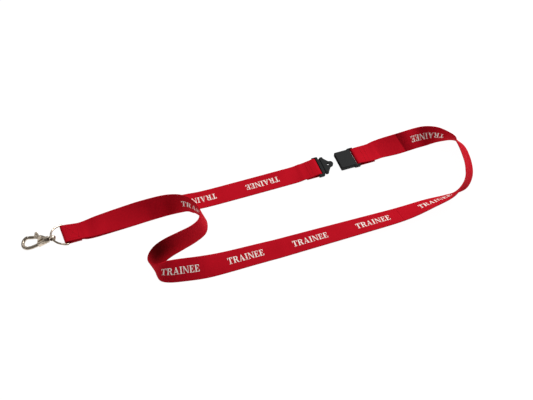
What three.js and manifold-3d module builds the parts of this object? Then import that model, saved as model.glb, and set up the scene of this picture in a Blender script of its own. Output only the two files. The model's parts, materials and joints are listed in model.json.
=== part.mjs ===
// Neck lanyard lying open on a table: red woven strap with a breakaway buckle, a D-ring and a
// swivel lobster hook. Millimetres, +Z up, the table is z = 0. +X runs along the short strap from
// the sewn end to the buckle, and the origin is on the table under the middle of the sewn patch.
import * as THREE from 'three';
import { mergeVertices } from 'three/addons/utils/BufferGeometryUtils.js';
import Module from 'manifold-3d';

const wasm = await Module();
wasm.setup();

// ---- driving dimensions ----
const gap = 0.3;                 // clearance between pieces that touch
const strapWidth = 20;
const strapThickness = 1;
const wireDiameter = 1.8;        // D-ring wire
const barDiameter = 2;           // strap bars moulded in both buckle halves
const sewnTail = 13;             // strap folded back under the sewn end
const plugTail = 13;             // strap folded back under the plug
const socketTail = 16;           // strap folded back under the socket
const plugBarX = 237;            // strap bar of the plug
const buckleY = -1.2;            // middle of both buckle halves
const buckleGap = 5;             // open space from the tongue tip to the mouth of the socket
const ringDepth = 12.5;          // from the D-ring's bar to its crown, wire centres
const ringCorner = 1.5;          // bend radius at the ends of the D-ring's bar
const ringYaw = THREE.MathUtils.degToRad(6);   // the sewn end is folded a little askew
const ringShift = 0.8;           // and sits a little to the far side
const ringTilt = THREE.MathUtils.degToRad(19); // the ring's crown is held up by the hook's eye
const gather = 0.97;             // the strap's width is drawn in where it goes round the ring
const ringPlay = 0.2;            // room beside the strap for the ring's askew arms
const puckerX = 9;               // the box seam draws the strap in most here,
const puckerReach = 8;           // over this far each way,
const pucker = 0.09;             // by this share of its width

// heights that follow from the strap
const half = strapWidth / 2;
const foldRadius = Math.max(wireDiameter, barDiameter) / 2 + gap + strapThickness / 2;
const foldOuter = foldRadius + strapThickness / 2;
const midHeight = foldOuter;     // height of every bar that a strap is folded round
const layer = strapThickness + gap;
const onTop = 2 * foldRadius;    // lift of the strap where it leaves the top of a bar
const ringBarX = foldRadius - sewnTail / 2;

// ---- colours ----
const red = new THREE.MeshStandardMaterial({ color: 0xb31226, roughness: 0.85, metalness: 0 });
const nickel = new THREE.MeshStandardMaterial({ color: 0xb0a595, roughness: 0.25, metalness: 1 });
const black = new THREE.MeshStandardMaterial({ color: 0x2b2c2d, roughness: 0.5, metalness: 0 });

const lanyard = new THREE.Group();

function place(name, geometry, material, parent = lanyard) {
  const mesh = new THREE.Mesh(geometry, material);
  mesh.name = name;
  parent.add(mesh);
  return mesh;
}

// ---- solids for cutting and joining ----
function toSolid(geometry) {
  const bare = geometry.clone();
  bare.deleteAttribute('normal');
  bare.deleteAttribute('uv');
  const merged = mergeVertices(bare, 1e-4);
  return new wasm.Manifold(new wasm.Mesh({
    numProp: 3,
    vertProperties: new Float32Array(merged.attributes.position.array),
    triVerts: new Uint32Array(merged.index.array),
  }));
}

function toGeometry(solid) {
  const mesh = solid.getMesh();
  const geometry = new THREE.BufferGeometry();
  geometry.setAttribute('position', new THREE.BufferAttribute(mesh.vertProperties, 3));
  geometry.setIndex(new THREE.BufferAttribute(mesh.triVerts, 1));
  geometry.computeVertexNormals();
  return geometry;
}

function join(...geometries) {
  return geometries.map(toSolid).reduce((whole, next) => whole.add(next));
}

function cut(solid, ...geometries) {
  return geometries.map(toSolid).reduce((whole, next) => whole.subtract(next), solid);
}

function box(x0, x1, y0, y1, z0, z1) {
  const geometry = new THREE.BoxGeometry(x1 - x0, y1 - y0, z1 - z0);
  return geometry.translate((x0 + x1) / 2, (y0 + y1) / 2, (z0 + z1) / 2);
}

// a cylinder along one axis, between two stations on it; a and b are its other two coordinates
function rod(axis, from, to, a, b, radius, sides = 20) {
  const geometry = new THREE.CylinderGeometry(radius, radius, to - from, sides);
  const middle = (from + to) / 2;
  if (axis === 'x') return geometry.rotateZ(-Math.PI / 2).translate(middle, a, b);
  if (axis === 'y') return geometry.translate(a, middle, b);
  return geometry.rotateX(Math.PI / 2).translate(a, b, middle);
}

// a flat shape in plan, from z0 to z1, with its top and bottom edges rounded by a bevel
function slab(shape, z0, z1, bevel = 0) {
  const geometry = new THREE.ExtrudeGeometry(shape, {
    depth: z1 - z0 - 2 * bevel,
    curveSegments: 10,
    bevelEnabled: bevel > 0,
    bevelThickness: bevel,
    bevelSize: bevel,
    bevelOffset: -bevel,
    bevelSegments: 2,
  });
  return geometry.translate(0, 0, z0 + bevel);
}

function tube(curve, radius, steps, sides) {
  const round = new THREE.Shape();
  round.absarc(0, 0, radius, 0, 2 * Math.PI);
  return new THREE.ExtrudeGeometry(round, {
    steps,
    curveSegments: sides / 2,     // a full circle gets twice as many points
    bevelEnabled: false,
    extrudePath: curve,
  });
}

function roundedBox(x0, x1, halfWidth, radius) {
  const shape = new THREE.Shape();
  shape.moveTo(x0 + radius, -halfWidth);
  shape.lineTo(x1 - radius, -halfWidth);
  shape.absarc(x1 - radius, radius - halfWidth, radius, -Math.PI / 2, 0);
  shape.lineTo(x1, halfWidth - radius);
  shape.absarc(x1 - radius, halfWidth - radius, radius, 0, Math.PI / 2);
  shape.lineTo(x0 + radius, halfWidth);
  shape.absarc(x0 + radius, halfWidth - radius, radius, Math.PI / 2, Math.PI);
  shape.lineTo(x0, radius - halfWidth);
  shape.absarc(x0 + radius, radius - halfWidth, radius, Math.PI, 1.5 * Math.PI);
  return shape;
}

// ---- straps ----
// A strap is a row of flat cross-sections. Each has a centre, the direction of its length and the
// direction of its width, towards the left edge. Roll 0 lies flat with the printed face up; a
// positive roll lifts the left edge, a negative one the right. The lower edge rests on the table,
// or higher by the lift.
// The route's x, y and roll run on a Catmull-Rom curve; the lift eases from point to point.
function spline(points, perSpan) {
  const rows = [];
  for (let i = 0; i < points.length - 1; i++) {
    const p = [-1, 0, 1, 2].map((k) => points[Math.min(Math.max(i + k, 0), points.length - 1)]);
    for (let j = 0; j < perSpan; j++) {
      const t = j / perSpan;
      const row = [0, 1, 2].map((c) => 0.5 * (2 * p[1][c] + (p[2][c] - p[0][c]) * t
        + (2 * p[0][c] - 5 * p[1][c] + 4 * p[2][c] - p[3][c]) * t ** 2
        + (3 * p[1][c] - p[0][c] - 3 * p[2][c] + p[3][c]) * t ** 3));
      row.push(THREE.MathUtils.lerp(p[1][3], p[2][3], t * t * (3 - 2 * t)));
      rows.push(row);
    }
  }
  rows.push(points[points.length - 1]);
  return rows;
}

function restHeight(roll, lift) {
  return half * Math.abs(Math.sin(roll)) + strapThickness / 2 * Math.abs(Math.cos(roll)) + lift;
}

function laidStrap(route, perSpan) {
  const rows = spline(route, perSpan).map(([x, y, degrees, lift]) => {
    const roll = THREE.MathUtils.degToRad(degrees);
    return { centre: new THREE.Vector3(x, y, restHeight(roll, lift)), roll };
  });
  return rows.map(({ centre, roll }, i) => {
    const before = rows[Math.max(i - 1, 0)].centre;
    const after = rows[Math.min(i + 1, rows.length - 1)].centre;
    const along = after.clone().sub(before).normalize();
    const left = new THREE.Vector3(-along.y, along.x, 0).normalize();
    const width = left.multiplyScalar(Math.cos(roll)).add(new THREE.Vector3(0, 0, Math.sin(roll)));
    width.addScaledVector(along, -width.dot(along)).normalize();
    return { centre, along, width };
  });
}

// the fold round a bar: a flat tail on the table, then half a turn up to the top of the bar.
// facing +1 has the tail on the +X side of the bar, -1 on the -X side.
function fold(barX, y, tail, facing, left) {
  const steps = 8;
  const frames = [];
  const centreZ = strapThickness / 2;
  frames.push({ centre: [barX + facing * tail, centreZ], along: [-facing, 0] });
  for (let i = 0; i <= steps; i++) {
    const turn = Math.PI * i / steps;
    frames.push({
      centre: [barX - facing * foldRadius * Math.sin(turn), midHeight - foldRadius * Math.cos(turn)],
      along: [-facing * Math.cos(turn), Math.sin(turn)],
    });
  }
  return frames.map(({ centre, along }) => ({
    centre: new THREE.Vector3(centre[0], y, centre[1]),
    along: new THREE.Vector3(along[0], 0, along[1]),
    width: new THREE.Vector3(0, left, 0),
  }));
}

function turnedRound(frames) {
  return frames.slice().reverse().map(({ centre, along, width }) => (
    { centre, along: along.clone().negate(), width }));
}

function strapGeometry(frames) {
  const positions = [];
  for (const { centre, along, width } of frames) {
    const face = new THREE.Vector3().crossVectors(along, width).normalize();
    for (const [w, f] of [[-1, -1], [1, -1], [1, 1], [-1, 1]]) {
      const corner = centre.clone().addScaledVector(width, w * half);
      positions.push(...corner.addScaledVector(face, f * strapThickness / 2).toArray());
    }
  }
  const triangles = [];
  const last = (frames.length - 1) * 4;
  for (let i = 0; i < last; i += 4) {
    for (let k = 0; k < 4; k++) {
      const a = i + k;
      const b = i + (k + 1) % 4;
      triangles.push(a, b, b + 4, a, b + 4, a + 4);
    }
  }
  triangles.push(0, 2, 1, 0, 3, 2);
  triangles.push(last, last + 1, last + 2, last, last + 2, last + 3);
  const geometry = new THREE.BufferGeometry();
  geometry.setAttribute('position', new THREE.Float32BufferAttribute(positions, 3));
  geometry.setIndex(triangles);
  geometry.computeVertexNormals();
  return geometry;
}

// draws the strap in, and turns its fold askew, towards the D-ring's bar; the seam puckers it
function gathered(geometry) {
  const place = geometry.attributes.position;
  for (let i = 0; i < place.count; i++) {
    const x = place.getX(i);
    const near = 1 - THREE.MathUtils.smoothstep(x, ringBarX, ringBarX + sewnTail + 4);
    const drawn = pucker * Math.exp(-(((x - puckerX) / puckerReach) ** 2));
    const y = place.getY(i) * (1 - near * (1 - gather)) * (1 - drawn);
    place.setXY(i, x - near * Math.tan(ringYaw) * y, y + near * ringShift);
  }
  geometry.computeVertexNormals();
  return geometry;
}

// buckle places along X, from the plug's bar
const railStart = foldOuter + gap;                     // strap slot ends, front rail begins
const railWidth = 2.4;
const lugStart = plugBarX + railStart + railWidth + 1.2;
const lugLength = 3.6;
const lugEnd = lugStart + lugLength;
const tongueLength = 7.6;
const tongueTip = lugEnd + tongueLength;
const mouthX = tongueTip + buckleGap;
const socketLength = 16;
const socketBarX = mouthX + socketLength + railStart;

// centre points of the long strap: x, y, roll in degrees, lift above the table
const longRoute = [
  [ringBarX, 0, 0, onTop], [ringBarX + sewnTail + 1, 0.2, 0, 2 * layer],
  [ringBarX + sewnTail + 12, 0.6, 6, layer], [51, -0.3, 25, layer], [69, -1.5, 42, layer],
  [87, -2.6, 57, layer], [98.8, -5.2, 70, layer], [106.1, -8.7, 83, layer],
  [110.8, -13.3, 90, 1], [114.1, -18.3, 98, 0.3], [116.7, -25.1, 105, 0],
  [113.4, -35.4, 107, 0], [104.2, -41.2, 106, 0], [91.4, -44.7, 110, 0], [79.2, -47.7, 115, 0],
  [70.3, -51.4, 118, 0], [63.8, -57, 114, 0], [61.2, -63.4, 104, 0], [64.4, -68.8, 82, 0],
  [72, -70.8, 54, 0], [85.1, -72.2, 36, 0], [103.2, -74.5, 26, 0], [123.1, -74.6, 11, 0],
  [161, -75, 1.5, 0], [251, -77.9, -11, 0], [289.8, -78.9, -17.5, 0], [318, -78, -31.5, 0],
  [338.4, -77.6, -49, 0],
  [350.9, -74.1, -77, 0], [362.6, -66.7, -108, 0], [373.1, -52.2, -126, 0],
  [379.5, -32.3, -133, 0], [379.5, -19.2, -130, 0], [370.2, -11.6, -105, 0],
  [359.1, -5.9, -75.5, 0], [343.6, -1.7, -41, 0], [322.6, -2, -35.5, 0], [303.5, 0, -15, 0.4],
  [socketBarX + socketTail + 1, -0.8, -8, layer], [socketBarX, buckleY, 0, onTop],
];
// centre points of the short strap, from inside the sewn end to the plug
const shortRoute = [
  [ringBarX + foldOuter + gap, 0, 0, layer], [ringBarX + sewnTail + 1, 0, 0, layer],
  [ringBarX + sewnTail + 9, 0, 0, 0], [50, 1, 0, 0], [70, 1.9, 0, 0], [90, 2.2, 0, 0],
  [108, 0.9, 0, 0], [125, -0.7, 0, 0], [160, -1.1, 0, 0],
  [plugBarX - plugTail - 14, buckleY, 0, 0], [plugBarX - plugTail - 1, buckleY, 0, layer],
  [plugBarX, buckleY, 0, onTop],
];

const ringFold = fold(ringBarX, 0, sewnTail, 1, 1);
const socketFold = turnedRound(fold(socketBarX, buckleY, socketTail, 1, -1));
const plugFold = turnedRound(fold(plugBarX, buckleY, plugTail, -1, 1));
const longFrames = [...ringFold, ...laidStrap(longRoute, 4).slice(1, -1), ...socketFold];
const shortFrames = [...laidStrap(shortRoute, 4).slice(0, -1), ...plugFold];
place('strap_long', gathered(strapGeometry(longFrames)), red);
place('strap_short', gathered(strapGeometry(shortFrames)), red);

// ---- D-ring: one length of wire bent to a D, its two ends meeting in the middle of the bar ----
const ringHalf = half * gather + gap + ringPlay + wireDiameter / 2;
const ringPath = new THREE.CurvePath();
{
  const at = (x, y) => new THREE.Vector3(x, y, 0);
  const sides = [-1, 1].map((side) => ({
    bar: new THREE.LineCurve3(at(0, side * gap / 2), at(0, side * (ringHalf - ringCorner))),
    corner: new THREE.QuadraticBezierCurve3(at(0, side * (ringHalf - ringCorner)),
      at(0, side * ringHalf), at(-ringCorner, side * ringHalf)),
    bow: new THREE.CubicBezierCurve3(at(-ringCorner, side * ringHalf),
      at(-0.5 * ringDepth, side * 0.97 * ringHalf), at(-ringDepth, side * 0.6 * ringHalf),
      at(-ringDepth, 0)),
  }));
  const back = ({ v0, v1, v2, v3 }) => (
    v3 ? new THREE.CubicBezierCurve3(v3, v2, v1, v0) : new THREE.QuadraticBezierCurve3(v2, v1, v0));
  const [near, far] = sides;
  ringPath.add(near.bar);
  ringPath.add(near.corner);
  ringPath.add(near.bow);
  ringPath.add(back(far.bow));
  ringPath.add(back(far.corner));
  ringPath.add(new THREE.LineCurve3(far.bar.v2, far.bar.v1));
}
const ring = new THREE.Group();
ring.position.set(ringBarX, ringShift, midHeight);
ring.rotation.set(0, ringTilt, ringYaw, 'ZYX');
ring.updateMatrix();
lanyard.add(ring);
place('d_ring', tube(ringPath, wireDiameter / 2, 72, 10), nickel, ring);

// ---- swivel eye: a cast eye on the ring's crown, with a stem riveted over inside the hook ----
const eyeInner = 2;
const eyeOuter = eyeInner + 0.9;
const eyeThickness = 2.4;
const eyeOnRing = -1.8;          // where the eye sits along the ring's crown
const eyeSlack = 0.5;            // the crown is pulled against the closed side of the eye
const hookYaw = THREE.MathUtils.degToRad(-8);
const hookPitch = THREE.MathUtils.degToRad(-9.6);  // the hook slopes from the ring to the table
const hookScale = 1.08;          // the eye and the hook are drawn 29 mm long and made 31 mm
const stemRadius = 1.1;
const collarStart = eyeOuter + gap;
const collarLength = 2.6;
const headLength = 0.8;
const headRadius = 1.6;

function eyeGeometry() {
  const shape = new THREE.Shape();
  shape.absarc(0, 0, eyeOuter, 0, 2 * Math.PI);
  const plate = new THREE.ExtrudeGeometry(shape, {
    depth: eyeThickness - 0.8,
    curveSegments: 14,
    bevelThickness: 0.4,
    bevelSize: 0.4,
    bevelOffset: -0.4,
    bevelSegments: 2,
  });
  plate.translate(0, 0, 0.4 - eyeThickness / 2).rotateX(Math.PI / 2);
  const stemEnd = -(collarStart + collarLength + gap);
  const solid = join(plate, rod('x', stemEnd, -eyeInner - 0.4, 0, 0, stemRadius),
    rod('x', stemEnd - headLength, stemEnd, 0, 0, headRadius));
  return toGeometry(cut(solid, rod('y', -eyeThickness, eyeThickness, 0, 0, eyeInner, 24)));
}
const hook = new THREE.Group();
hook.rotation.set(0, hookPitch, hookYaw, 'ZYX');
hook.position.set(-ringDepth, eyeOnRing, 0).applyMatrix4(ring.matrix)
  .add(new THREE.Vector3(eyeSlack, 0, 0).applyEuler(hook.rotation));
hook.scale.setScalar(hookScale);
lanyard.add(hook);
place('swivel_eye', eyeGeometry(), nickel, hook);

// ---- lobster hook: cast body, spring lever on a riveted pin. In the hook's own frame the eye is
// at 0, the hook reaches to -X, the lever is on the +Y side and the pin is along Z ----
const collarEnd = collarStart + collarLength;
const headRoom = headLength + 2 * gap;
const loopSection = 1.5;         // radius of the hook's round section
const bodyThickness = 4.6;
const slotWidth = 3;             // slot between the body's cheeks, for the lever and its spring
const pinX = -8.1;
const pinY = 2.9;
const pinRadius = 0.6;
const noseX = -20.6;
const noseY = 6.95;
const gateReach = 12.5;          // from the pin to the end of the gate

const loopCurve = new THREE.CatmullRomCurve3([
  [-collarEnd - 1.5, -1.9], [-10.5, -2.5], [-14.5, -3.5], [-18.5, -4], [-22, -3.3],
  [-24.4, -1], [-24.9, 2.2], [-24.1, 4.9], [-22.4, 6.5], [noseX, noseY],
].map(([x, y]) => new THREE.Vector3(x, y, 0)));

function hookBodyGeometry() {
  const h = bodyThickness / 2;
  const cheeks = new THREE.Shape();
  cheeks.moveTo(-collarEnd + 0.6, -2.4);
  cheeks.lineTo(-10.5, -3.9);
  cheeks.quadraticCurveTo(-12.4, -4.3, -12.2, -2.6);
  cheeks.lineTo(-11.6, 1.2);
  cheeks.quadraticCurveTo(-12.2, 5, -9, 4.9);
  cheeks.lineTo(-collarEnd + 0.6, 2.4);
  const window = new THREE.Shape();      // the long opening between the cheeks and the lower bar
  window.moveTo(-collarEnd - headRoom, -1);
  window.lineTo(-11.5, -2.3);
  window.lineTo(-11.3, -0.9);
  window.lineTo(-collarEnd - headRoom, 0.6);
  const body = join(slab(cheeks, -h, h, 0.5), tube(loopCurve, loopSection, 40, 10),
    rod('x', -collarEnd, -collarStart, 0, 0, eyeOuter));
  const stemBore = rod('x', -collarEnd - 1, -collarStart + 1, 0, 0, stemRadius + gap);
  const headBore = rod('x', -collarEnd - headRoom, -collarEnd, 0, 0, headRadius + gap);
  const s = slotWidth / 2;
  const slot = box(-15, pinX + discRadius + 0.2, 0.4, 8, -s, s);
  const pinHole = rod('z', -4, 4, pinX, pinY, pinRadius + gap / 2);
  const sweep = new THREE.Shape();       // what the gate's end needs free as it turns
  sweep.absarc(pinX, pinY, gateReach + gap, 0.82 * Math.PI, 0.98 * Math.PI);
  sweep.absarc(pinX, pinY, gateReach - 2, 0.98 * Math.PI, 0.82 * Math.PI, true);
  return toGeometry(cut(body, stemBore, headBore, slot, pinHole, slab(sweep, -h, h),
    slab(window, -h - 1, h + 1)));
}

const discRadius = 1.3;          // the lever's end round the pin
const leverThickness = 1.2;
const leverTop = slotWidth / 2 - gap;
const springWire = 0.4;
const knobX = -13.3;
const knobY = 8.2;
const gateRadius = 1.4;
place('hook_body', hookBodyGeometry(), nickel, hook);

function leverGeometry() {
  const blade = new THREE.Shape();
  blade.moveTo(pinX + discRadius, pinY);
  blade.absarc(pinX, pinY, discRadius, 0, -Math.PI / 2, true);
  blade.lineTo(-12.6, 2.6);
  blade.lineTo(-15, 4.2);
  blade.lineTo(-15, 6.6);
  blade.lineTo(knobX - 1, knobY);
  blade.lineTo(knobX + 1, knobY);
  blade.lineTo(-11.4, 6);
  blade.lineTo(pinX, pinY + discRadius);
  blade.absarc(pinX, pinY, discRadius, Math.PI / 2, 0, true);
  const gate = new THREE.LineCurve3(new THREE.Vector3(noseX, noseY - 0.25, 0),
    new THREE.Vector3(-12.8, 5, 0));
  const solid = join(slab(blade, leverTop - leverThickness, leverTop),
    tube(gate, gateRadius, 1, 12), rod('z', -1.5, 1.5, knobX, knobY, 1.3, 16));
  const inReach = solid.intersect(toSolid(rod('z', -4, 4, pinX, pinY, gateReach, 64)));
  return toGeometry(cut(inReach, rod('z', -4, 4, pinX, pinY, pinRadius + gap)));
}
place('hook_lever', leverGeometry(), nickel, hook);

place('lever_pin', rod('z', -bodyThickness / 2 - 0.1, bodyThickness / 2 + 0.1, pinX, pinY,
  pinRadius, 16), nickel, hook);

// the spring coiled round the pin, under the lever, as the sleeve that its turns fill
const springInner = pinRadius + gap / 2;
const springOuter = springInner + springWire;
const springLow = -slotWidth / 2 + 0.1;
const springHigh = leverTop - leverThickness - 0.1;
const springGeometry = new THREE.LatheGeometry([
  [springInner, springLow], [springOuter, springLow],
  [springOuter, springHigh], [springInner, springHigh], [springInner, springLow],
].map(([r, z]) => new THREE.Vector2(r, z)), 24).rotateX(Math.PI / 2).translate(pinX, pinY, 0);
place('lever_spring', springGeometry, nickel, hook);

// ---- breakaway buckle: each half has a strap bar held by two arms outside the strap ----
const armInner = half + gap;
const armOuter = armInner + 1;
const lugHalf = 9.8;
const tongueBase = 8.6;              // half width of the tongue where it leaves the lugs
const plugHalf = midHeight - 0.3;    // half thickness of the plug's frame
const tongueHalf = 1.2;              // half thickness of the tongue
const socketHalf = tongueBase + 2 * gap + 1.1;
const barRadius = barDiameter / 2;

const buckle = new THREE.Group();
buckle.position.set(0, buckleY, midHeight);
lanyard.add(buckle);

// the bar that a strap is folded round, and the two arms that hold it to the front rail
function strapFrame(barX, facing, railX) {
  const [x0, x1] = [barX - facing * barRadius, railX + facing].sort((a, b) => a - b);
  return [box(x0, x1, -armOuter, -armInner, -plugHalf, plugHalf),
    box(x0, x1, armInner, armOuter, -plugHalf, plugHalf),
    rod('y', -armInner - 0.5, armInner + 0.5, barX, 0, barRadius)];
}

function plugGeometry() {
  const railX = plugBarX + railStart;
  const tipRadius = 3.2;
  const tipX = tongueTip - tipRadius;
  const tongue = new THREE.Shape();
  tongue.moveTo(lugEnd - 1, -tongueBase);
  tongue.lineTo(lugEnd, -tongueBase);
  tongue.lineTo(tipX - 0.6, -tipRadius - 0.2);
  tongue.absarc(tipX, 0, tipRadius, -1.5, 1.5);
  tongue.lineTo(tipX - 0.6, tipRadius + 0.2);
  tongue.lineTo(lugEnd, tongueBase);
  tongue.lineTo(lugEnd - 1, tongueBase);
  const hole = rod('z', -midHeight, midHeight, lugEnd + 2.4, 0, 1.3, 20);
  const solid = join(...strapFrame(plugBarX, 1, railX),
    slab(roundedBox(railX, railX + railWidth, armOuter, 0.8), -plugHalf, plugHalf, 0.4),
    box(railX + 1, lugStart + 1, -tongueBase, tongueBase, -1.3, 1.3),
    slab(roundedBox(lugStart, lugEnd, lugHalf, 1.2), -plugHalf, plugHalf, 0.5),
    slab(tongue, -tongueHalf, tongueHalf, 0.3));
  return toGeometry(cut(solid, hole));
}
place('buckle_plug', plugGeometry(), black, buckle);

function socketGeometry() {
  const end = mouthX + socketLength;
  const cavityHalf = tongueBase + gap;
  const cavityDepth = tongueLength + 3;
  const solid = join(...strapFrame(socketBarX, -1, end),
    slab(roundedBox(mouthX, end, socketHalf, 1), -midHeight, midHeight, 0.6),
    slab(roundedBox(end - railWidth, end, armOuter, 0.8), -plugHalf, plugHalf, 0.4));
  const mouth = box(mouthX - 1, mouthX + cavityDepth, -cavityHalf, cavityHalf,
    -tongueHalf - gap, tongueHalf + gap);
  return toGeometry(cut(solid, mouth));
}
place('buckle_socket', socketGeometry(), black, buckle);

export default lanyard;
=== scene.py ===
"""A printed neck lanyard lying open on a pale surface: its straps, buckle, D-ring and hook."""

import json

import bpy
import numpy as np
from mathutils import Matrix, Vector
from mathutils.geometry import delaunay_2d_cdt

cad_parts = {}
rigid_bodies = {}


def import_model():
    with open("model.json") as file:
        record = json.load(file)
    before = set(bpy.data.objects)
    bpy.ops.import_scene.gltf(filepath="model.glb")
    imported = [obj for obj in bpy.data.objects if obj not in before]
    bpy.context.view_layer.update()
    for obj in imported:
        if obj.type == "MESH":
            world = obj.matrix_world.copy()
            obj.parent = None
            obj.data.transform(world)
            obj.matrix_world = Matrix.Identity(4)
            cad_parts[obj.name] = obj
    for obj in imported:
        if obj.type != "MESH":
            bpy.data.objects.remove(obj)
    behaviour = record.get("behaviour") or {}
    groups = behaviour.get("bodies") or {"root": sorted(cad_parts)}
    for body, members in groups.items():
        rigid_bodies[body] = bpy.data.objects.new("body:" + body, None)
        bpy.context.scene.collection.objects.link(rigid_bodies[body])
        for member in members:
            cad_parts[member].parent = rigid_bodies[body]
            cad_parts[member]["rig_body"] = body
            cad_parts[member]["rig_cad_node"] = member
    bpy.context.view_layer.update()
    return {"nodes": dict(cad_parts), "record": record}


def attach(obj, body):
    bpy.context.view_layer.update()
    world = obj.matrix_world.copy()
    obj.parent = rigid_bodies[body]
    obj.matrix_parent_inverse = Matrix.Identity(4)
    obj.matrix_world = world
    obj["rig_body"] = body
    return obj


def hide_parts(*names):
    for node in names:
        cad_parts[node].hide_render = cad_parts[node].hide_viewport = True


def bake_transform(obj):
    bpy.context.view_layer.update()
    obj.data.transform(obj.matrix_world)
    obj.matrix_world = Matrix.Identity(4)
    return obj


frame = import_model()
MM = 0.001

# ---- Camera ----
# A 46 mm lens half a metre up, in front of the sewn end and a little to its right.
CAMERA_PLACE = (0.0492, -0.3844, 0.5119)
CAMERA_FORWARD = (0.20267, 0.56738, -0.79813)
CAMERA_RIGHT = (0.94308, -0.33257, 0.00306)
camera = bpy.data.objects.new("camera", bpy.data.cameras.new("camera"))
forward, right = Vector(CAMERA_FORWARD).normalized(), Vector(CAMERA_RIGHT).normalized()
camera.matrix_world = Matrix.Translation(CAMERA_PLACE) @ Matrix(
    (right, right.cross(forward), -forward)).transposed().to_4x4()
camera.data.lens = 46.27
camera.data.sensor_width = 36
camera.data.clip_start, camera.data.clip_end = 0.01, 20
bpy.context.scene.collection.objects.link(camera)
bpy.context.scene.camera = camera

# ---- Straps ----
# Two lengths of flat woven polyester, 20 mm wide and 1 mm thick. The long one goes from the D-ring
# round a twisted loop and the neck bend to the buckle's socket, the short one from the sewn end
# straight to the buckle's plug. Each is folded round its bars and sewn down.
STRAP_WIDTH = 20 * MM
STRAP_THICKNESS = 1 * MM
GAP = 0.3 * MM
FOLD_RADIUS = 1.8 * MM          # middle of the strap round a bar
SNUG = 0.31 * MM                # how far a fold bulges towards the rail of its buckle half
BAR_HEIGHT = 2.3 * MM
RING_BAR_X = -4.7 * MM
PLUG_BAR_X = 237 * MM
SOCKET_BAR_X = 279 * MM
BUCKLE_Y = -1.2 * MM
SEWN_TAIL = 13 * MM
PLUG_TAIL = 13 * MM
SOCKET_TAIL = 16 * MM
RING_YAW = np.radians(6)        # the sewn end is folded askew
RING_SHIFT = 0.8 * MM           # sits a little to the far side
GATHER = 0.97                   # and is drawn in round the ring
PUCKER_X = 9 * MM               # the box seam draws it in most here,
PUCKER_REACH = 8 * MM           # over this far each way,
PUCKER = 0.09                   # by this share of its width
STATION = 0.7 * MM              # distance between cross-sections
SPAN_STEPS = 24                 # points from one centre point to the next, and round a fold
NECK_START = 456 * MM           # where the long strap's second piece begins
LEFT_TURN_PLACE = (0.0612, -0.0634)
# the long strap's creases, in millimetres along it, across it and high
PATCH_START, PATCH_REACH, PATCH_RISE = 31, 19, 1.6
CLIMB_START, CLIMB_REACH, CLIMB_RISE = 94, 14, 1.8
DROP_START, DROP_REACH, DROP = 109, 16, 3.4
CLIMB_SLOPE = 0.06              # how much stronger, for each millimetre to the right
DIP, DIP_REACH = 3.5, 12
SINK, SINK_REACH, SINK_END, SINK_SLANT = 5.6, 17, 645.5, 0.3
# painted shade on the reverse face inside the sharp left turn: its middle this many millimetres
# before the turn, its reach, and its least share across the strap
TURN_SHADE_BEFORE, TURN_SHADE_REACH, TURN_SHADE_LEAST = 15, 16, 0.35

# centre points: x, y and lift in metres, roll in degrees
LONG_ROUTE = [
    (-0.0047, 0, 0, 0.0036), (0.0093, 0.0002, 0, 0.0026), (0.0203, 0.0006, 6, 0.0013),
    (0.051, -0.0003, 25, 0.0013), (0.069, -0.0015, 42, 0.0013),
    (0.087, -0.0026, 57, 0.0013), (0.0988, -0.0052, 70, 0.0013), (0.1061, -0.0087, 83, 0.0013),
    (0.1108, -0.0133, 90, 0.001), (0.1141, -0.0183, 98, 0.0003), (0.1167, -0.0251, 105, 0),
    (0.1134, -0.0354, 107, 0), (0.1042, -0.0412, 106, 0), (0.0914, -0.0447, 110, 0),
    (0.0792, -0.0477, 115, 0), (0.0703, -0.0514, 118, 0), (0.0638, -0.057, 114, 0),
    (0.0612, -0.0634, 104, 0), (0.0644, -0.0688, 82, 0), (0.072, -0.0708, 54, 0),
    (0.0851, -0.0722, 36, 0), (0.1032, -0.0745, 26, 0), (0.1231, -0.0746, 11, 0),
    (0.161, -0.075, 1.5, 0), (0.251, -0.0779, -11, 0),
    (0.2898, -0.0789, -17.5, 0), (0.318, -0.078, -31.5, 0), (0.3384, -0.0776, -49, 0),
    (0.3509, -0.0741, -77, 0), (0.3626, -0.0667, -108, 0), (0.3731, -0.0522, -126, 0),
    (0.3795, -0.0323, -133, 0), (0.3795, -0.0192, -130, 0), (0.3702, -0.0116, -105, 0),
    (0.3591, -0.0059, -75.5, 0), (0.3436, -0.0017, -41, 0), (0.3226, -0.002, -35.5, 0),
    (0.3035, 0, -15, 0.0004), (0.296, -0.0008, -8, 0.0013), (0.279, -0.0012, 0, 0.0036),
]
SHORT_ROUTE = [
    (-0.0021, 0, 0, 0.0013), (0.0093, 0, 0, 0.0013), (0.0173, 0, 0, 0), (0.05, 0.001, 0, 0),
    (0.07, 0.0019, 0, 0), (0.09, 0.0022, 0, 0), (0.108, 0.0009, 0, 0), (0.125, -0.0007, 0, 0),
    (0.16, -0.0011, 0, 0), (0.21, -0.0012, 0, 0), (0.223, -0.0012, 0, 0.0013),
    (0.237, -0.0012, 0, 0.0036),
]


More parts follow.
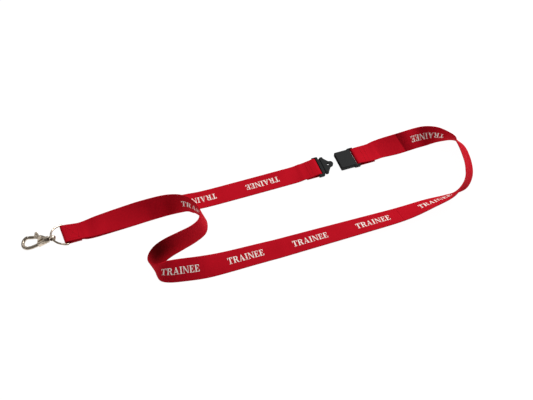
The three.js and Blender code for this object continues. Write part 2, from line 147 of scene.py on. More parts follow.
def laid(route):
    """Centres and left-edge directions of a laid strap. x, y and roll are Catmull-Rom curves
    through the route and the lift eases from point to point. The lower edge rests on the lift, so
    the centre is above it by half the width times the sine of the roll, plus half the thickness
    times its cosine."""
    points = np.array(route, float)
    rows = []
    for i in range(len(points) - 1):
        a, b, c, d = (points[min(max(i + k, 0), len(points) - 1)] for k in (-1, 0, 1, 2))
        t = (np.arange(SPAN_STEPS) / SPAN_STEPS)[:, None]
        row = 0.5 * (2 * b + (c - a) * t + (2 * a - 5 * b + 4 * c - d) * t ** 2
                     + (3 * b - a - 3 * c + d) * t ** 3)
        row[:, 3] = (b[3] + (c[3] - b[3]) * t * t * (3 - 2 * t))[:, 0]
        rows.append(row)
    x, y, roll, lift = np.vstack([*rows, points[-1:]]).T
    roll = np.radians(roll)
    height = (STRAP_WIDTH * abs(np.sin(roll)) + STRAP_THICKNESS * abs(np.cos(roll))) / 2 + lift
    centre = np.stack([x, y, height], 1)
    along = unit(np.gradient(centre, axis=0))
    left = unit(np.stack([-along[:, 1], along[:, 0], 0 * x], 1))
    width = left * np.cos(roll)[:, None] + np.array([0, 0, 1]) * np.sin(roll)[:, None]
    return centre, unit(width - along * (width * along).sum(1, keepdims=True))


def unit(vectors):
    return vectors / np.linalg.norm(vectors, axis=1, keepdims=True)


def folded(bar_x, y, tail, facing, left):
    """The fold round a bar: a flat tail on the table, then half a turn up to the top of the bar.
    facing is the side of the bar that the tail is on, left the sign of the left edge's y."""
    turn = np.linspace(0, np.pi, SPAN_STEPS)
    x = np.r_[bar_x + facing * tail, bar_x - facing * (FOLD_RADIUS + SNUG) * np.sin(turn)]
    z = np.r_[STRAP_THICKNESS / 2, BAR_HEIGHT - FOLD_RADIUS * np.cos(turn)]
    centre = np.stack([x, 0 * x + y, z], 1)
    return centre, np.tile([0, left, 0], (len(x), 1)).astype(float)


def chained(*stretches):
    """Stretches of strap end to end, resampled to even stations: centres, along, width, face and
    the distance from the start of each station."""
    centre = np.vstack([s[0][1 if i else 0:] for i, s in enumerate(stretches)])
    width = np.vstack([s[1][1 if i else 0:] for i, s in enumerate(stretches)])
    run = np.r_[0, np.cumsum(np.linalg.norm(np.diff(centre, axis=0), axis=1))]
    at = np.linspace(0, run[-1], int(run[-1] / STATION) + 1)
    centre = np.stack([np.interp(at, run, centre[:, k]) for k in range(3)], 1)
    width = np.stack([np.interp(at, run, width[:, k]) for k in range(3)], 1)
    along = unit(np.gradient(centre, axis=0))
    width = unit(width - along * (width * along).sum(1, keepdims=True))
    return centre, along, width, np.cross(along, width), at


def turned_round(stretch):
    return stretch[0][::-1], stretch[1][::-1]


def gathered(points):
    """The sewn end's strap drawn in and turned askew towards the D-ring's bar."""
    near = np.clip((points[:, 0] - RING_BAR_X) / (SEWN_TAIL + 4 * MM), 0, 1)
    near = 1 - near * near * (3 - 2 * near)
    moved = points.copy()
    moved[:, 1] *= 1 - near * (1 - GATHER)
    moved[:, 1] *= 1 - PUCKER * np.exp(-(((points[:, 0] - PUCKER_X) / PUCKER_REACH) ** 2))
    moved[:, 0] -= near * np.tan(RING_YAW) * moved[:, 1]
    moved[:, 1] += near * RING_SHIFT
    return moved


def on_strap(strap, run, across, height):
    """Points at a distance along a strap, a distance to the left of its middle and a height above
    its middle layer."""
    centre, _, width, face, at = strap
    pick = [np.stack([np.interp(run, at, v[:, k]) for k in range(3)], 1)
            for v in (centre, width, face)]
    points = pick[0] + unit(pick[1]) * np.asarray(across)[:, None]
    return gathered(points + unit(pick[2]) * np.asarray(height)[:, None])


def mesh_object(name, points, faces, smooth=True):
    mesh = bpy.data.meshes.new(name)
    mesh.from_pydata(np.asarray(points, float).tolist(), [], [tuple(map(int, f)) for f in faces])
    mesh.polygons.foreach_set("use_smooth", [smooth] * len(mesh.polygons))
    thing = bpy.data.objects.new(name, mesh)
    bpy.context.scene.collection.objects.link(thing)
    return thing


def add_uv(thing, name, values):
    """A UV layer from one pair of numbers per vertex."""
    layer = thing.data.uv_layers.new(name=name)
    corner = np.empty(len(thing.data.loops), int)
    thing.data.loops.foreach_get("vertex_index", corner)
    layer.data.foreach_set("uv", np.asarray(values, np.float32)[corner].ravel())


def grid_faces(rows, columns, offset=0):
    """Quads of a grid whose columns close round, with a cap at each end."""
    i, j = np.meshgrid(np.arange(rows - 1), np.arange(columns), indexing="ij")
    a, b = i * columns + j, i * columns + (j + 1) % columns
    quads = np.stack([a, b, b + columns, a + columns], -1).reshape(-1, 4) + offset
    ends = [np.arange(columns)[::-1] + offset, np.arange(columns) + (rows - 1) * columns + offset]
    return [*quads, *ends]


def creases(run, across):
    """Height of the long strap's soft creases, in metres from distances in millimetres: a rise
    after the sewn patch, one where it climbs over the short strap, strongest at its right edge, a
    dip at the sharp left turn, and a fold that deepens towards the socket and ends at a slanting
    edge. They are bump only and leave the strap's points where they are."""
    s, w = run / MM, across / MM
    patch = eased((s - PATCH_START) / PATCH_REACH) * PATCH_RISE
    climb = (eased((s - CLIMB_START) / CLIMB_REACH) * CLIMB_RISE
             - eased((s - DROP_START) / DROP_REACH) * DROP) * (1 - CLIMB_SLOPE * w)
    turn = DIP * np.exp(-((s - LEFT_TURN) / DIP_REACH) ** 2)
    edge = SINK_END - SINK_SLANT * w
    sink = np.clip((s - edge + SINK_REACH) / SINK_REACH, 0, 1) ** 2 * SINK
    return (patch + climb - turn - sink) * MM


def eased(t):
    t = np.clip(t, 0, 1)
    return t * t * (3 - 2 * t)


def painted_turn_shade(run, across, reverse):
    """Painted shade on the reverse face inside the sharp left turn, 0 to 1, less at its upper edge.
    """
    s, w = run / MM, across / MM
    inside = np.exp(-np.clip((s - LEFT_TURN + TURN_SHADE_BEFORE) / TURN_SHADE_REACH, -3, 3) ** 2)
    return reverse * inside * (TURN_SHADE_LEAST + (1 - TURN_SHADE_LEAST) * eased((w + 10) / 12))


def add_floats(thing, name, values):
    made = thing.data.attributes.new(name, "FLOAT", "POINT")
    made.data.foreach_set("value", values.astype(np.float32))


def woven(name, strap):
    """A strap's surface: at each station a closed section 20 mm by 1 mm with half-round edges. The
    long strap's pieces also carry the height of their creases and a mask of painted shade for the
    reverse face inside the sharp left turn."""
    across_steps, round_steps = 30, 6
    half, radius = STRAP_WIDTH / 2, STRAP_THICKNESS / 2
    flat = half - radius
    turn = np.linspace(-np.pi / 2, np.pi / 2, round_steps + 1)[1:-1]
    lower = np.linspace(-flat, flat, across_steps)
    w = np.r_[lower, flat + radius * np.cos(turn), lower[::-1], -flat - radius * np.cos(turn)]
    h = np.r_[0 * lower - radius, radius * np.sin(turn), 0 * lower + radius, -radius * np.sin(turn)]
    stations, ring = len(strap[4]), len(w)
    run = np.repeat(strap[4], ring)
    points = on_strap(strap, run, np.tile(w, stations), np.tile(h, stations))
    thing = mesh_object(name, points, grid_faces(stations, ring))
    for end in thing.data.polygons[-2:]:
        end.use_smooth = False
    add_uv(thing, "weave", np.stack([np.tile(w, stations), run], 1))
    if strap is not short_strap:
        add_floats(thing, "crease", creases(run, np.tile(w, stations)))
        # a mask of painted shade for the reverse face inside the sharp left turn
        add_floats(thing, "painted_shade", painted_turn_shade(run, np.tile(w, stations), np.tile(h < 0, stations)))
    return thing


ring_fold = folded(RING_BAR_X, 0, SEWN_TAIL, 1, 1)
socket_fold = turned_round(folded(SOCKET_BAR_X, BUCKLE_Y, SOCKET_TAIL, 1, -1))
plug_fold = turned_round(folded(PLUG_BAR_X, BUCKLE_Y, PLUG_TAIL, -1, 1))
long_strap = chained(ring_fold, laid(LONG_ROUTE), socket_fold)
short_strap = chained(laid(SHORT_ROUTE), plug_fold)
turn_at = np.argmin(np.linalg.norm(long_strap[0][:, :2] - LEFT_TURN_PLACE, axis=1))
LEFT_TURN = long_strap[4][turn_at] / MM
part_at = int(np.argmin(abs(long_strap[4] - NECK_START)))
long_part = tuple(v[:part_at + 1] for v in long_strap)
neck_part = tuple(v[part_at:] for v in long_strap)
strap_long = woven("woven_long", long_part)
strap_neck = woven("woven_neck", neck_part)
strap_short = woven("woven_short", short_strap)


class Value:
    """A shader socket that can be added and multiplied; each operation is one Math node."""

    def __init__(self, tree, socket):
        self.tree, self.socket = tree, socket

    def math(self, operation, *others, clamp=False):
        made = self.tree.nodes.new("ShaderNodeMath")
        made.operation = operation
        made.use_clamp = clamp
        for place, other in zip(made.inputs, (self, *others)):
            if isinstance(other, Value):
                self.tree.links.new(other.socket, place)
            else:
                place.default_value = other
        return Value(self.tree, made.outputs[0])

    def __add__(self, other):
        return self.math("ADD", other)

    def __mul__(self, other):
        return self.math("MULTIPLY", other)

    __radd__, __rmul__ = __add__, __mul__

    def smooth(self, low, high):
        made = self.tree.nodes.new("ShaderNodeMapRange")
        made.interpolation_type = "SMOOTHSTEP"
        self.tree.links.new(self.socket, made.inputs["Value"])
        made.inputs["From Min"].default_value = low
        made.inputs["From Max"].default_value = high
        return Value(self.tree, made.outputs[0])


class Finish:
    """A material on one Principled shader, whose other nodes are made by type."""

    def __init__(self, name, **constants):
        self.material = bpy.data.materials.new(name)
        self.material.use_nodes = True
        self.tree = self.material.node_tree
        self.shader = self.tree.nodes["Principled BSDF"]
        for socket, value in constants.items():
            self.shader.inputs[socket.replace("_", " ")].default_value = value

    def node(self, kind, settings=(), inputs=()):
        made = self.tree.nodes.new(kind)
        for key, value in dict(settings).items():
            setattr(made, key, value)
        for key, value in dict(inputs).items():
            if isinstance(value, Value):
                self.tree.links.new(value.socket, made.inputs[key])
            else:
                made.inputs[key].default_value = value
        return {s.name: Value(self.tree, s) for s in reversed(made.outputs)}

    def noise(self, scale, detail, stretch=(1, 1, 1)):
        where = self.node("ShaderNodeTexCoord")["Object"]
        where = self.node("ShaderNodeMapping", {}, {"Vector": where, "Scale": stretch})["Vector"]
        inputs = {"Vector": where, "Scale": scale, "Detail": detail}
        made = self.node("ShaderNodeTexNoise", {}, inputs)
        return made.get("Fac") or made["Factor"]

    def mix(self, factor, first, second):
        made = self.tree.nodes.new("ShaderNodeMix")
        made.data_type = "RGBA"
        places = [s for s in made.inputs if s.enabled]
        for place, value in zip(places, (factor, first, second)):
            if isinstance(value, Value):
                self.tree.links.new(value.socket, place)
            else:
                place.default_value = value
        return Value(self.tree, next(s for s in made.outputs if s.enabled))

    def feed(self, socket, value):
        self.tree.links.new(value.socket, self.shader.inputs[socket])

    def crease(self):
        height = self.node("ShaderNodeAttribute", {"attribute_name": "crease"})["Fac"]
        return self.bump(height, 1.0)

    def bump(self, height, distance, strength=1.0, over=None):
        inputs = {"Height": height, "Distance": distance, "Strength": strength}
        if over:
            inputs["Normal"] = over
        return self.node("ShaderNodeBump", {}, inputs)["Normal"]


# painted light and shade with a random tone: the weave's ridges take the lighter red and its
# valleys the darker
RED_RIDGE_LIGHT_AND_PALE_TONE = (0.6, 0.0075, 0.02, 1)
RED_VALLEY_SHADE_AND_DARK_TONE = (0.4, 0.003, 0.01, 1)
# painted shade: the red of the reverse face deep inside the sharp left turn
RED_PAINTED_SHADE = (0.1, 0.0005, 0.002, 1)
WARP_PITCH = 0.62 * MM
WEFT_PITCH = 0.5 * MM


def webbing_finish():
    """Plain weave: ribs across and along the strap, each thread going over one and under the
    next. Its red is painted lighter on the ridges and darker in the valleys, painted shade, mixed
    with a random tone, and painted shade darkens the reverse face inside the sharp left turn."""
    made = Finish("webbing", Roughness=0.72, Specular_IOR_Level=0.02)
    place = made.node("ShaderNodeUVMap", {"uv_map": "weave"})["UV"]
    parts = made.node("ShaderNodeSeparateXYZ", {}, {"Vector": place})
    across, along = parts["X"] * (np.pi / WARP_PITCH), parts["Y"] * (np.pi / WEFT_PITCH)
    crossing = across.math("SINE") * along.math("SINE")
    ribs = across.math("SINE").math("ABSOLUTE") * 0.6 + along.math("SINE").math("ABSOLUTE") * 0.4
    height = ribs * 0.6 + crossing * 0.4
    fuzz = made.noise(900, 2)
    soft = made.noise(55, 2)
    thread = height.smooth(-0.2, 0.75)
    # the red darker in the weave's valleys, painted shade, and varied at random
    tone = (thread * 0.5 + fuzz * 0.25 + soft * 0.55).math("SUBTRACT", 0.12, clamp=True)
    # painted shade darkens the reverse face inside the sharp left turn
    painted_shade = made.node("ShaderNodeAttribute", {"attribute_name": "painted_shade"})["Fac"]
    made.feed("Base Color", made.mix(painted_shade, made.mix(tone, RED_VALLEY_SHADE_AND_DARK_TONE, RED_RIDGE_LIGHT_AND_PALE_TONE), RED_PAINTED_SHADE))
    made.feed("Roughness", 0.62 + fuzz * 0.2)
    swell = made.bump(soft, 1.2 * MM, 0.5, made.crease())
    made.feed("Normal", made.bump(height + fuzz * 0.4, 0.12 * MM, 0.8, swell))
    return made.material


webbing = webbing_finish()
for strap in (strap_long, strap_neck, strap_short):
    strap.data.materials.append(webbing)

# ---- Printed words ----
# White screen-printed capitals, one word repeated along both straps: tops towards the left edge on
# the long strap and on the short one, which reads back towards the D-ring.
LETTER_HEIGHT = 6.2 * MM
INK_LIFT = 0.06 * MM            # above the strap's middle face
THICK, THIN, SERIF = 0.18, 0.075, 0.06


def bar(x0, y0, x1, y1):
    return [(x0, y0), (x1, y0), (x1, y1), (x0, y1)]


def stem(x, foot=0.14, top=True):
    """An upright stroke with slab serifs, its left side at x."""
    shapes = [bar(x, 0.0, x + THICK, 1.0), bar(x - foot, 0.0, x + THICK + foot, SERIF)]
    return shapes + ([bar(x - foot, 1.0 - SERIF, x + THICK + foot, 1.0)] if top else [])


def stroke(points, widths):
    """A curved stroke of changing width, as one outline."""
    line = np.array(points, float)
    t = np.linspace(0, len(line) - 1, 40)
    curve = []
    for u in t:
        i = min(int(u), len(line) - 2)
        a, b, c, d = (line[min(max(i + k, 0), len(line) - 1)] for k in (-1, 0, 1, 2))
        v = u - i
        curve.append(0.5 * (2 * b + (c - a) * v + (2 * a - 5 * b + 4 * c - d) * v ** 2
                            + (3 * b - a - 3 * c + d) * v ** 3))
    curve = np.array(curve)
    wide = np.interp(t, np.arange(len(line)), widths)[:, None] / 2
    run = unit(np.gradient(curve, axis=0))
    side = np.stack([-run[:, 1], run[:, 0]], 1)
    return [tuple(p) for p in np.vstack([curve + side * wide, (curve - side * wide)[::-1]])]


BOWL = [(0.25, 0.95), (0.44, 0.95), (0.58, 0.87), (0.62, 0.74), (0.58, 0.6), (0.44, 0.52),
        (0.25, 0.51)]
BOWL_WIDTHS = [0.08, 0.09, 0.14, 0.18, 0.14, 0.09, 0.08]
LEG = [(0.4, 0.52), (0.52, 0.42), (0.58, 0.22), (0.66, 0.05), (0.8, 0.06)]
LEG_WIDTHS = [0.1, 0.17, 0.19, 0.15, 0.04]
E_SHAPE = [*stem(0.1, foot=0.08), bar(0.2, 1 - THIN, 0.62, 1), bar(0.2, 0, 0.64, THIN),
           bar(0.2, 0.47, 0.46, 0.47 + THIN), bar(0.42, 0.36, 0.47, 0.66),
           [(0.62, 0.7), (0.62, 0.97), (0.5, 0.97), (0.57, 0.7)],
           [(0.66, 0.3), (0.61, 0.3), (0.5, 0.03), (0.64, 0.03)]]
LETTERS = {
    "T": (0.74, [*stem(0.27, top=False), bar(0.02, 1 - THIN, 0.72, 1),
                 [(0.02, 0.7), (0.065, 0.7), (0.14, 0.94), (0.02, 0.94)],
                 [(0.72, 0.7), (0.72, 0.94), (0.6, 0.94), (0.675, 0.7)]]),
    "R": (0.82, [*stem(0.1, foot=0.08), stroke(BOWL, BOWL_WIDTHS), stroke(LEG, LEG_WIDTHS)]),
    "A": (0.84, [[(0.08, 0), (0.15, 0), (0.46, 1), (0.38, 1)],
                 [(0.54, 0), (0.76, 0), (0.46, 1), (0.34, 1)], bar(0.2, 0.28, 0.62, 0.28 + THIN),
                 bar(0.0, 0, 0.25, SERIF), bar(0.44, 0, 0.84, SERIF)]),
    "I": (0.42, stem(0.11, foot=0.11)),
    "N": (0.86, [bar(0.1, 0, 0.17, 1), bar(0.69, 0, 0.76, 1),
                 [(0.02, 1), (0.24, 1), (0.76, 0), (0.64, 0)],
                 bar(0.0, 0, 0.27, SERIF), bar(0.59, 1 - SERIF, 0.86, 1)]),
    "E": (0.68, E_SHAPE),
}
WORD = "TRAINEE"
LETTER_GAP = 0.05


def filled(outlines, step):
    """The union of outlines as triangles no larger than the step: a Delaunay triangulation of the
    outlines and a grid of points, of which the triangles inside any outline are kept."""
    points, edges = [], []
    for outline in outlines:
        first = len(points)
        for (x0, y0), (x1, y1) in zip(outline, outline[1:] + outline[:1]):
            parts = max(1, int(np.hypot(x1 - x0, y1 - y0) / step))
            points += [(x0 + (x1 - x0) * k / parts, y0 + (y1 - y0) * k / parts)
                       for k in range(parts)]
        count = len(points) - first
        edges += [(first + k, first + (k + 1) % count) for k in range(count)]
    low, high = np.min(points, 0), np.max(points, 0)
    x, y = np.meshgrid(np.arange(low[0], high[0], step), np.arange(low[1], high[1], step))
    points += list(zip(x.ravel(), y.ravel()))
    found = delaunay_2d_cdt([Vector(map(float, p)) for p in points], edges, [], 0, 1e-6)
    verts, faces = np.array([tuple(v) for v in found[0]]), np.array(found[2])
    middle = verts[faces].mean(1)
    keep = np.zeros(len(faces), bool)
    for outline in outlines:
        crossings = np.zeros(len(faces), int)
        for (x0, y0), (x1, y1) in zip(outline, outline[1:] + outline[:1]):
            if y0 != y1:
                spans = (middle[:, 1] >= min(y0, y1)) & (middle[:, 1] < max(y0, y1))
                at = x0 + (middle[:, 1] - y0) / (y1 - y0) * (x1 - x0)
                crossings += spans & (at > middle[:, 0])
        keep |= crossings % 2 == 1
    faces = faces[keep]
    used, faces = np.unique(faces, return_inverse=True)
    return verts[used], faces.reshape(-1, 3)


def word_shape(word):
    """A word's outlines filled, as points with its start at x 0 and its middle at y 0, one high."""
    verts, faces, x, count = [], [], 0.0, 0
    for letter in word:
        wide, outlines = LETTERS[letter]
        v, f = filled(outlines, 0.12)
        verts.append(v + (x, -0.5))
        faces.append(f + count)
        count += len(v)
        x += wide + LETTER_GAP
    return np.vstack(verts), np.vstack(faces)


def printed(name, strap, starts, heading):
    """Ink on a strap: the word at each start, reading along the strap, or back along it at heading
    -1, as a thin layer that follows the strap's face."""
    shape, faces = word_shape(WORD)
    count = len(shape)
    run = np.concatenate([start + heading * shape[:, 0] * LETTER_HEIGHT for start in starts])
    across = np.tile(heading * shape[:, 1] * LETTER_HEIGHT, len(starts))
    points = on_strap(strap, run, across, np.full(len(run), STRAP_THICKNESS / 2 + INK_LIFT))
    return mesh_object(name, points, np.vstack([faces + count * k for k in range(len(starts))]))


LONG_WORDS = [start * MM for start in (126.7, 180, 233.8, 292.4, 352.6, 413.2, 476, 537.5, 600.5)]
SHORT_WORDS = [start * MM for start in (201, 138.6)]
print_long = printed("print_long", long_part, LONG_WORDS[:6], 1)
print_neck = printed("print_neck", neck_part, LONG_WORDS[6:], 1)
print_short = printed("print_short", short_strap, SHORT_WORDS, -1)
INK = (0.97, 0.86, 0.8, 1)


def ink_finish():
    """Screen ink that lets a little of the weave show."""
    made = Finish("white_ink", Roughness=0.6, Specular_IOR_Level=0.1)
    wear = made.noise(420, 3).smooth(0.28, 0.5)
    made.feed("Base Color", made.mix(wear, (0.72, 0.4, 0.4, 1), INK))
    made.feed("Normal", made.bump(made.noise(1500, 2), 0.06 * MM, 0.6))
    return made.material


ink = ink_finish()
for words in (print_long, print_neck, print_short):
    words.data.materials.append(ink)

# ---- Seams ----
# Red polyester thread: a box seam through all layers at the sewn end, and two rows across the strap
# behind each half of the buckle. Each stitch is a short arch of thread.
THREAD_RADIUS = 0.2 * MM
STITCH = 2.4 * MM
# the seams' places, in millimetres: past the fold and to each side of the middle
BOX_NEAR, BOX_FAR, BOX_HALF, ROW_HALF = 2.5, 12.2, 7.6, 8.4
SOCKET_ROWS, PLUG_ROWS = (7, 11), (6, 9.5)


def stitched(name, strap, rows):
    """Stitches along straight rows on a strap. A row is two points, run and across; each stitch is
    a tube that dips into the strap at both ends."""
    points, faces, sides, steps = [], [], 8, 9
    turn = np.linspace(0, 2 * np.pi, sides, endpoint=False)
    for start, end in rows:
        start, end = np.array(start) * MM, np.array(end) * MM
        long = np.linalg.norm(end - start)
        count = max(1, int(round(long / STITCH)))
        run = (end - start) / long
        side = np.array([-run[1], run[0]])
        for k in range(count):
            t = (k + np.linspace(0.04, 0.96, steps)) / count
            arch = np.sin(np.linspace(0, np.pi, steps)) ** 0.4
            middle = start + np.outer(t * long, run)
            fullness = np.sin(np.linspace(0.12, np.pi - 0.12, steps)) ** 0.3
            radius = THREAD_RADIUS * (0.35 + 0.65 * fullness)
            flat = middle[:, None, :] + side * (np.cos(turn) * radius[:, None])[..., None]
            height = ((STRAP_THICKNESS / 2 + THREAD_RADIUS * (arch - 0.75))[:, None]
                      + np.sin(turn) * radius[:, None])
            made = on_strap(strap, flat[..., 0].ravel(), flat[..., 1].ravel(), height.ravel())
            faces += grid_faces(steps, sides, len(points) * steps * sides)
            points.append(made)
    return mesh_object(name, np.vstack(points), faces)


fold_run = SEWN_TAIL / MM + np.pi * FOLD_RADIUS / MM
SEAM = [(fold_run + BOX_NEAR, -BOX_HALF), (fold_run + BOX_NEAR, BOX_HALF),
        (fold_run + BOX_FAR, BOX_HALF), (fold_run + BOX_FAR, -BOX_HALF)]
seam_rows = [(SEAM[0], SEAM[1]), (SEAM[1], SEAM[2]), (SEAM[2], SEAM[3]), (SEAM[3], SEAM[0]),
             (SEAM[0], SEAM[2]), (SEAM[1], SEAM[3])]
long_end = long_strap[4][-1] / MM - SOCKET_TAIL / MM - np.pi * FOLD_RADIUS / MM
short_end = short_strap[4][-1] / MM - PLUG_TAIL / MM - np.pi * FOLD_RADIUS / MM
seam_ring = stitched("seam_ring", long_strap, seam_rows)
seam_socket = stitched("seam_socket", long_strap, [
    ((long_end - r, -ROW_HALF), (long_end - r, ROW_HALF)) for r in SOCKET_ROWS])
seam_plug = stitched("seam_plug", short_strap, [
    ((short_end - r, -ROW_HALF), (short_end - r, ROW_HALF)) for r in PLUG_ROWS])


def thread_finish():
    made = Finish("red_thread", Roughness=0.6, Specular_IOR_Level=0.08)
    tone = made.noise(700, 2)
    made.feed("Base Color", made.mix(tone, (0.42, 0.004, 0.012, 1), (0.58, 0.008, 0.02, 1)))
    return made.material


thread = thread_finish()
for seam in (seam_ring, seam_socket, seam_plug):
    seam.data.materials.append(thread)

# ---- Metal ----
# The D-ring is bent wire, the eye, hook body and lever are castings, the pin is riveted and the
# spring is wound wire; all nickel plated, a little warm and worn.


def tube(name, path, radius, sides):
    """A round tube: rings of points about each point of the path, turned as little as possible from
    one to the next."""
    path = np.asarray(path, float)
    along = unit(np.gradient(path, axis=0))
    normal = np.cross(along[0], [0.0, 0.0, 1.0])
    if np.linalg.norm(normal) < 0.1:
        normal = np.cross(along[0], [0.0, 1.0, 0.0])
    turn = np.linspace(0, 2 * np.pi, sides, endpoint=False)
    rings = []
    radii = np.broadcast_to(radius, len(path))
    for point, way, r in zip(path, along, radii):
        normal = normal - way * (normal @ way)
        normal /= np.linalg.norm(normal)
        other = np.cross(way, normal)
        rings.append(point + r * (np.outer(np.cos(turn), normal) + np.outer(np.sin(turn), other)))
    return mesh_object(name, np.vstack(rings), grid_faces(len(path), sides))


def bezier(a, b, c, d, count=40):
    t = np.linspace(0, 1, count)[:, None]
    a, b, c, d = (np.array(p, float) for p in (a, b, c, d))
    return a * (1 - t) ** 3 + 3 * b * t * (1 - t) ** 2 + 3 * c * t * t * (1 - t) + d * t ** 3


# painted shade for the plating's recesses
RECESS_PAINTED_SHADE = (0.02, 0.015, 0.01, 1)


def nickel_finish(name, dark, light, roughness):
    """Plating with soft stains and fine scratches, with painted shade darkening its recesses."""
    made = Finish(name, Metallic=1.0)
    stain, scratch = made.noise(190, 3), made.noise(900, 3, (1, 0.15, 0.15))
    # painted shade: darker where ambient occlusion finds the surface shut in
    open_to = made.node("ShaderNodeAmbientOcclusion", {"samples": 8}, {"Distance": 1.6 * MM})["AO"]
    plate = made.mix(stain.smooth(0.3, 0.7), dark, light)
    made.feed("Base Color", made.mix(open_to.smooth(0.3, 0.8), RECESS_PAINTED_SHADE, plate))
    made.feed("Roughness", roughness + stain * 0.1 + scratch * 0.06)
    made.feed("Normal", made.bump(scratch, 0.02 * MM, 0.3))
    return made.material


nickel = nickel_finish("nickel_plate", (0.26, 0.215, 0.165, 1), (0.78, 0.66, 0.53, 1), 0.16)
steel = nickel_finish("spring_wire", (0.3, 0.3, 0.31, 1), (0.5, 0.5, 0.5, 1), 0.2)
WIRE_RADIUS = 0.9 * MM
RING_DEPTH = 12.5 * MM
RING_CORNER = 1.5 * MM
RING_PLAY = 0.2 * MM
RING_TILT = np.radians(19)      # the hook's eye holds the crown up
RING_HALF = STRAP_WIDTH / 2 * GATHER + GAP + RING_PLAY + WIRE_RADIUS


def ring_path():
    """The D-ring's centreline: from the middle of its bar round the bow and back, its ends 0.3 mm
    apart."""
    half_path = [np.linspace((0, GAP / 2, 0), (0, RING_HALF - RING_CORNER, 0), 12)]
    corner, side = (0, RING_HALF, 0), (-RING_CORNER, RING_HALF, 0)
    half_path.append(bezier((0, RING_HALF - RING_CORNER, 0), corner, corner, side, 12)[1:])
    half_path.append(bezier(side, (-0.5 * RING_DEPTH, 0.97 * RING_HALF, 0),
                            (-RING_DEPTH, 0.6 * RING_HALF, 0), (-RING_DEPTH, 0, 0), 60)[1:])
    far = np.vstack(half_path)
    path = np.vstack([far, (far * (1, -1, 1))[::-1][1:]])
    turn = Matrix.Rotation(RING_YAW, 3, "Z") @ Matrix.Rotation(RING_TILT, 3, "Y")
    return path @ np.array(turn).T + (RING_BAR_X, RING_SHIFT, BAR_HEIGHT)


wire_ring = tube("wire_ring", ring_path(), WIRE_RADIUS, 24)
wire_ring.data.materials.append(nickel)
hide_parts("d_ring")
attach(wire_ring, "ring")


def cast(node, name, cell, soften, body, material):
    """A casting from a CAD node: a merged copy, remeshed into cells and smoothed, so that its edges
    are rounded as in a mould."""
    made = frame["nodes"][node].copy()
    made.data = made.data.copy()
    made.name = name
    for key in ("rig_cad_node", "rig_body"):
        if key in made:
            del made[key]
    made.parent = None
    bpy.context.scene.collection.objects.link(made)
    weld = made.modifiers.new("weld", "WELD")
    weld.merge_threshold = 0.002 * MM
    cells = made.modifiers.new("cells", "REMESH")
    cells.mode, cells.voxel_size, cells.use_smooth_shade = "VOXEL", cell, True
    soft = made.modifiers.new("soft", "SMOOTH")
    soft.factor, soft.iterations = 0.5, soften
    made.data.materials.clear()
    made.data.materials.append(material)
    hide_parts(node)
    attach(made, body)
    return made


cast("hook_body", "cast_hook", 0.13 * MM, 5, "hook", nickel)
cast("hook_lever", "cast_lever", 0.1 * MM, 4, "lever", nickel)
cast("swivel_eye", "cast_eye", 0.09 * MM, 4, "eye", nickel)

SPRING_TURNS, SPRING_POINTS, SPRING_SCALE = 3.2, 150, 1.08
SPRING_WIRE = 0.15 * MM


def wound(joint):
    """The lever's spring: close turns of wire round the pin, under the lever. The path is the pin's
    point + radius * (cos a, sin a) across the axis + a rise in proportion to the angle a."""
    axis = Vector(joint["axis"]).normalized()
    across = axis.orthogonal().normalized()
    other = axis.cross(across)
    angle = np.linspace(0, 2 * np.pi * SPRING_TURNS, SPRING_POINTS)[:, None]
    rise = np.linspace(-1.2 * MM, -0.3 * MM, SPRING_POINTS)[:, None] * SPRING_SCALE
    radius = 0.95 * MM * SPRING_SCALE
    path = (np.array(joint["pos_m"]) + rise * np.array(axis)
            + radius * (np.cos(angle) * np.array(across) + np.sin(angle) * np.array(other)))
    return tube("wound_spring", path, SPRING_WIRE, 12)


lever_joint = next(j for j in frame["record"]["behaviour"]["joints"] if j["name"] == "lever_open")
spring = wound(lever_joint)
spring.data.materials.append(steel)
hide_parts("lever_spring")
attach(spring, "hook")

# ---- Buckle ----
# Two moulded halves in black plastic with a fine satin grain, edges slightly rounded.
BLACK = (0.012, 0.0128, 0.0128, 1)


def plastic_finish():
    made = Finish("black_plastic", Roughness=0.55, Specular_IOR_Level=0.07)
    grain, patch = made.noise(2600, 2), made.noise(90, 3)
    made.feed("Base Color", made.mix(patch, BLACK, (0.021, 0.0225, 0.0225, 1)))
    made.feed("Roughness", 0.42 + patch * 0.18)
    made.feed("Normal", made.bump(grain, 0.05 * MM, 0.7))
    return made.material


plastic = plastic_finish()
cast("buckle_plug", "moulded_plug", 0.13 * MM, 3, "straps", plastic)
cast("buckle_socket", "moulded_socket", 0.14 * MM, 3, "socket", plastic)

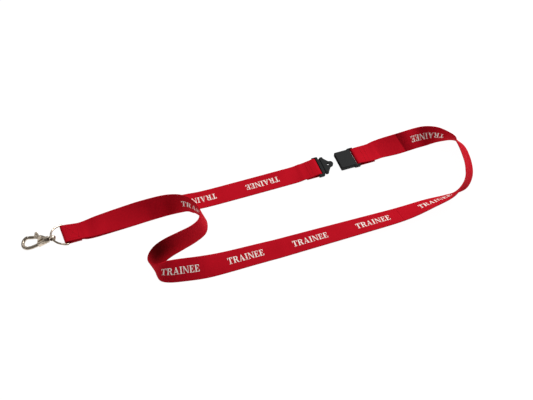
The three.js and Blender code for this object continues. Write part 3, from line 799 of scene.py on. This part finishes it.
pin = frame["nodes"]["lever_pin"]
pin.data.materials.clear()
pin.data.materials.append(nickel)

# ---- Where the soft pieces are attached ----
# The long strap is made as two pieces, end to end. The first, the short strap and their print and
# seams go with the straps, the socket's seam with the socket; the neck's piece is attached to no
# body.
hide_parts("strap_long")
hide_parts("strap_long")
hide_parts("strap_short")
for still in (strap_long, print_long, strap_short, print_short, seam_plug, seam_ring):
    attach(still, "straps")
for moved in (strap_neck, print_neck):
    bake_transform(moved)
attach(seam_socket, "socket")
for piece, part, lay, others in (
        (strap_long, long_part, "loose", [print_long, seam_ring]),
        (strap_neck, neck_part, "loose", [print_neck, seam_socket]),
        (strap_short, short_strap, "taut", [print_short, seam_plug])):
    path = gathered(part[0])
    float(part[4][-1] - part[4][0])

# ---- Table and light ----
# A white sheet under the lanyard, a large soft light over it, a dim card behind that the metal
# reflects, and pale surroundings.
floor = mesh_object("floor", [(-20, -20, 0), (20, -20, 0), (20, 20, 0), (-20, 20, 0)],
                    [(0, 1, 2, 3)], False)
paper = Finish("paper", Roughness=0.9, Specular_IOR_Level=0.0, Emission_Strength=0.985)
paper.shader.inputs["Base Color"].default_value = (0.08, 0.08, 0.08, 1)
paper.shader.inputs["Emission Color"].default_value = (1, 1, 1, 1)
floor.data.materials.append(paper.material)


def area_light(name, place, target, size, power):
    lamp = bpy.data.lights.new(name, "AREA")
    lamp.shape, lamp.size, lamp.energy = "DISK", size, power
    thing = bpy.data.objects.new(name, lamp)
    thing.location = place
    thing.rotation_mode = "QUATERNION"
    thing.rotation_quaternion = (Vector(target) - Vector(place)).to_track_quat("-Z", "Y")
    bpy.context.scene.collection.objects.link(thing)


MIDDLE, HOOK = (0.18, -0.03, 0), (-0.025, 0, 0.005)
area_light("soft_box", (1.07, 0.53, 1.23), MIDDLE, 0.6, 23.5)
area_light("card", (-0.3, 0.87, 0.99), HOOK, 1.3, 2)
world = bpy.data.worlds.new("room")
world.use_nodes = True
world.node_tree.nodes["Background"].inputs["Color"].default_value = (1, 1, 1, 1)
world.node_tree.nodes["Background"].inputs["Strength"].default_value = 0.2
bpy.context.scene.world = world
bpy.context.scene.view_settings.view_transform = "Standard"
